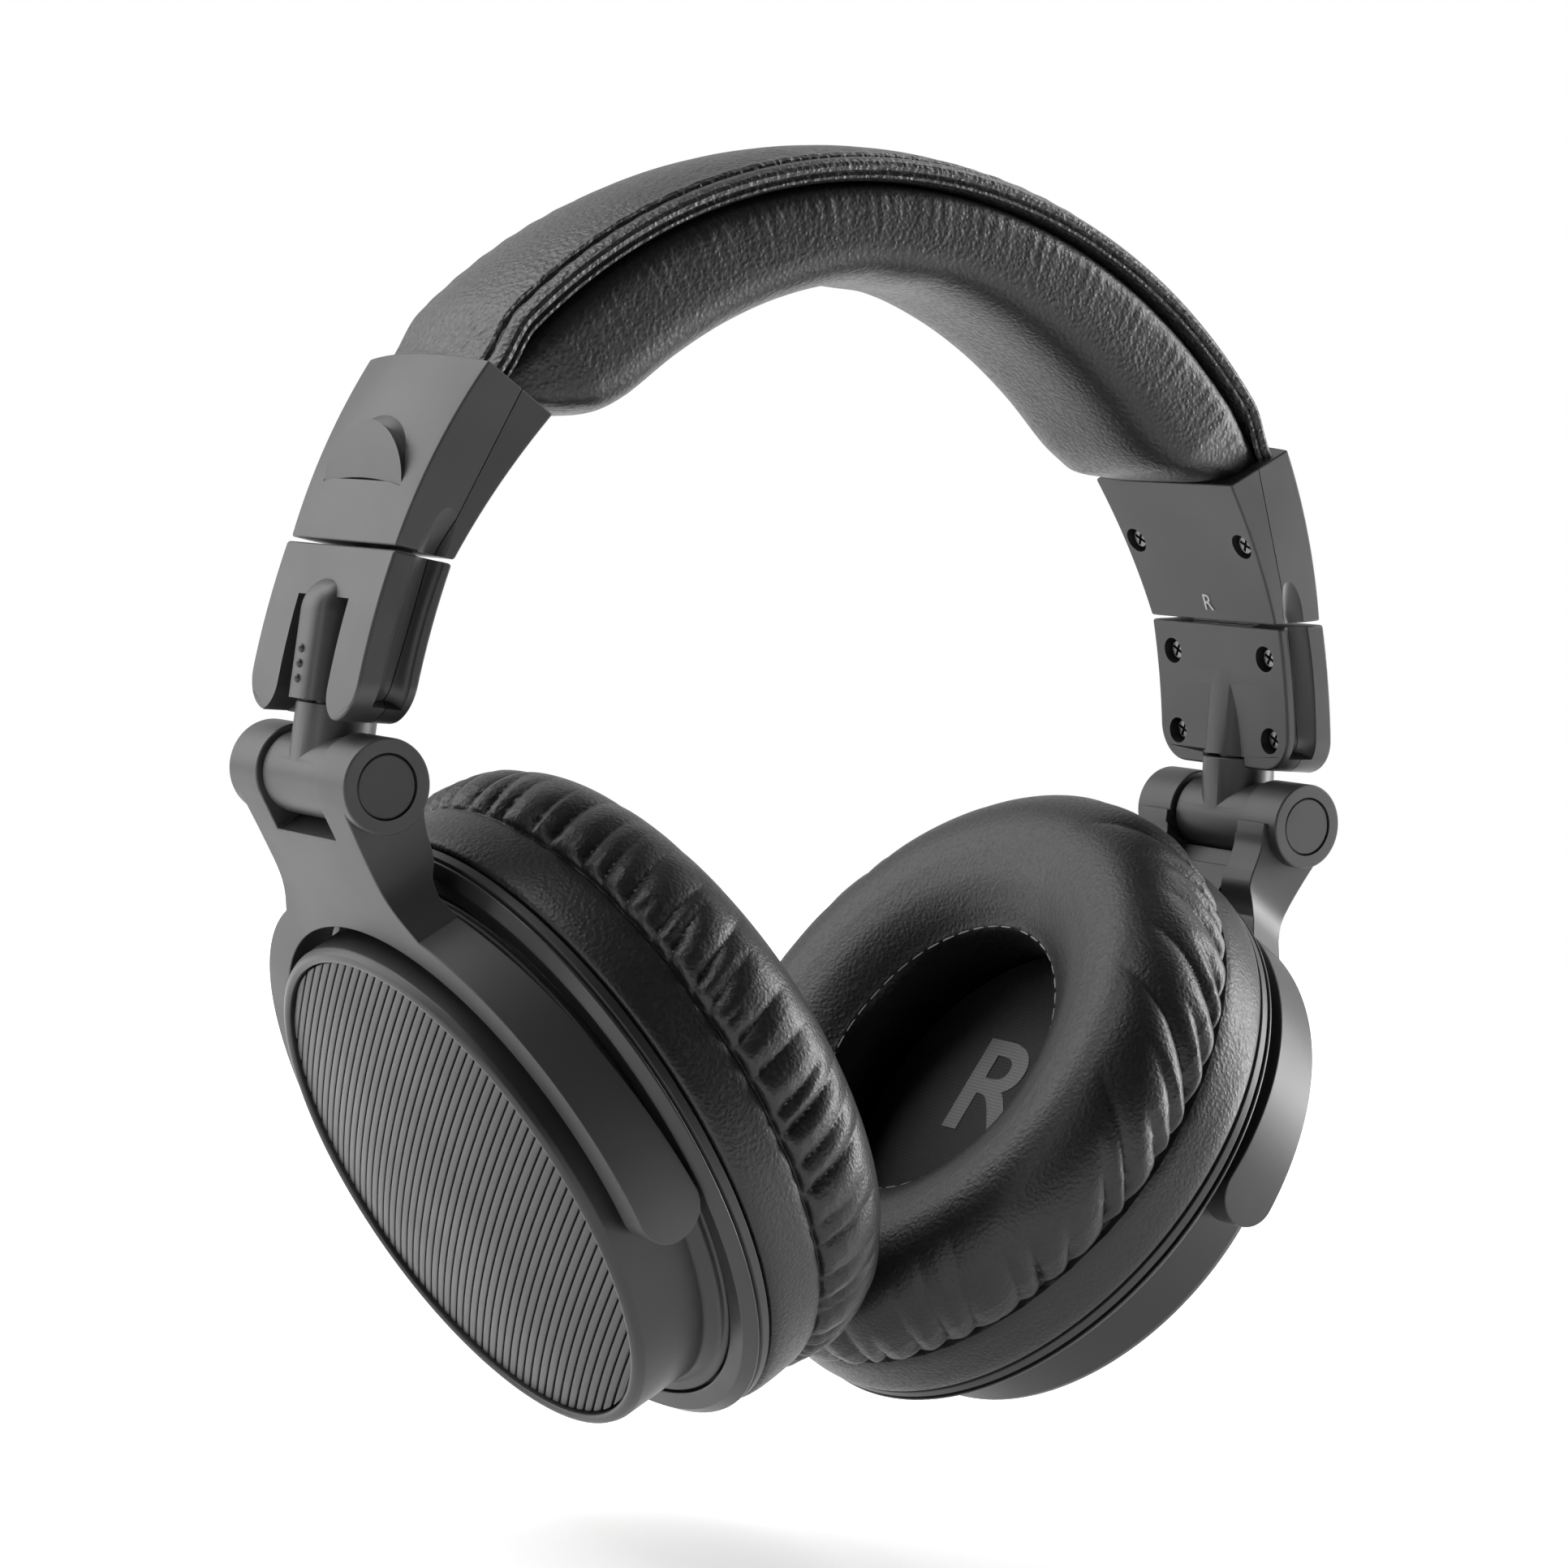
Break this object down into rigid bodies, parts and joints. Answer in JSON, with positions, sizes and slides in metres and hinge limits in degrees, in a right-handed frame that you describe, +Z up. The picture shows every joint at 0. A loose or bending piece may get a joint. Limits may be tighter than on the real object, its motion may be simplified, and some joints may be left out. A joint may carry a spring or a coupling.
{
  "type": "over ear headphones",
  "caption": "Folding over-ear headphones: a padded sprung headband with sliding arms, swivelling folding yokes and round closed cups with deep soft ear pads.",
  "frame": {"origin": "where a wearer's head touches the cushion, at the middle of the headband's underside", "axes": "+X to the wearer's right, +Y to the wearer's front, +Z up, away from the head"},
  "size_m": [0.1714, 0.0928, 0.1789],
  "materials": {
    "satin_plastic": "satin",
    "inner_plastic": "satin",
    "cup_plastic": "satin",
    "rib_plastic": "satin",
    "trim_plastic": "gloss",
    "headband_leather": "satin",
    "cushion_leather": "satin",
    "ear_pad_leather": "satin",
    "spring_steel": "satin",
    "screw_steel": "satin",
    "cone_plastic": "satin",
    "scrim_fabric": "matte",
    "socket_brass": "satin"
  },
  "bodies": {
    "headband": {"headband_spring_band": "spring_steel", "headband_top_cover": "headband_leather", "headband_cushion": "cushion_leather", "left_housing_outer": "satin_plastic", "left_housing_inner": "inner_plastic", "left_detent_spring": "spring_steel", "left_housing_screw_1": "screw_steel", "left_housing_screw_2": "screw_steel", "right_housing_outer": "satin_plastic", "right_housing_inner": "inner_plastic", "right_detent_spring": "spring_steel", "right_housing_screw_1": "screw_steel", "right_housing_screw_2": "screw_steel"},
    "left_slider": {"left_slider_strip": "spring_steel", "left_block_outer": "satin_plastic", "left_block_inner": "inner_plastic", "left_block_screw_1": "screw_steel", "left_block_screw_2": "screw_steel", "left_block_screw_3": "screw_steel", "left_block_screw_4": "screw_steel"},
    "left_knuckle": {"left_swivel_knuckle": "satin_plastic", "left_post_retaining_clip": "spring_steel"},
    "left_yoke": {"left_yoke": "satin_plastic", "left_yoke_inner_plate": "inner_plastic", "left_hinge_pin": "inner_plastic", "left_pivot_pin_front": "spring_steel", "left_pivot_pin_back": "spring_steel"},
    "left_cup": {"left_cup_rear_shell": "cup_plastic", "left_ribbed_end_plate": "rib_plastic", "left_trim_ring": "trim_plastic", "left_baffle": "inner_plastic", "left_driver": "cone_plastic", "left_driver_magnet": "spring_steel", "left_ear_scrim": "scrim_fabric", "left_ear_pad": "ear_pad_leather", "left_jack_socket": "socket_brass"},
    "right_slider": {"right_slider_strip": "spring_steel", "right_block_outer": "satin_plastic", "right_block_inner": "inner_plastic", "right_block_screw_1": "screw_steel", "right_block_screw_2": "screw_steel", "right_block_screw_3": "screw_steel", "right_block_screw_4": "screw_steel"},
    "right_knuckle": {"right_swivel_knuckle": "satin_plastic", "right_post_retaining_clip": "spring_steel"},
    "right_yoke": {"right_yoke": "satin_plastic", "right_yoke_inner_plate": "inner_plastic", "right_hinge_pin": "inner_plastic", "right_pivot_pin_front": "spring_steel", "right_pivot_pin_back": "spring_steel"},
    "right_cup": {"right_cup_rear_shell": "cup_plastic", "right_ribbed_end_plate": "rib_plastic", "right_trim_ring": "trim_plastic", "right_baffle": "inner_plastic", "right_driver": "cone_plastic", "right_driver_magnet": "spring_steel", "right_ear_scrim": "scrim_fabric", "right_ear_pad": "ear_pad_leather", "right_jack_socket": "socket_brass"}
  },
  "joints": [
    {"name": "left_slider", "type": "slide", "parent": "headband", "child": "left_slider", "axis": [-0.3997, 0, -0.9166], "range_m": [0, 0.022]},
    {"name": "left_swivel", "type": "hinge", "parent": "left_slider", "child": "left_knuckle", "pos_m": [-0.0793, 0, -0.073], "axis": [-0.0698, 0, -0.9976], "range_deg": [-90, 90]},
    {"name": "left_fold", "type": "hinge", "parent": "left_knuckle", "child": "left_yoke", "pos_m": [-0.0793, 0, -0.073], "axis": [0, -1, 0], "range_deg": [-35, 0]},
    {"name": "left_cup_tilt", "type": "hinge", "parent": "left_yoke", "child": "left_cup", "pos_m": [-0.0481, 0, -0.12497], "axis": [0, -1, 0], "range_deg": [-4, 3]},
    {"name": "right_slider", "type": "slide", "parent": "headband", "child": "right_slider", "axis": [0.3997, 0, -0.9166], "range_m": [0, 0.022]},
    {"name": "right_swivel", "type": "hinge", "parent": "right_slider", "child": "right_knuckle", "pos_m": [0.0793, 0, -0.073], "axis": [-0.0698, 0, 0.9976], "range_deg": [-90, 90]},
    {"name": "right_fold", "type": "hinge", "parent": "right_knuckle", "child": "right_yoke", "pos_m": [0.0793, 0, -0.073], "axis": [0, 1, 0], "range_deg": [-35, 0]},
    {"name": "right_cup_tilt", "type": "hinge", "parent": "right_yoke", "child": "right_cup", "pos_m": [0.0481, 0, -0.12497], "axis": [0, 1, 0], "range_deg": [-4, 3]}
  ]
}
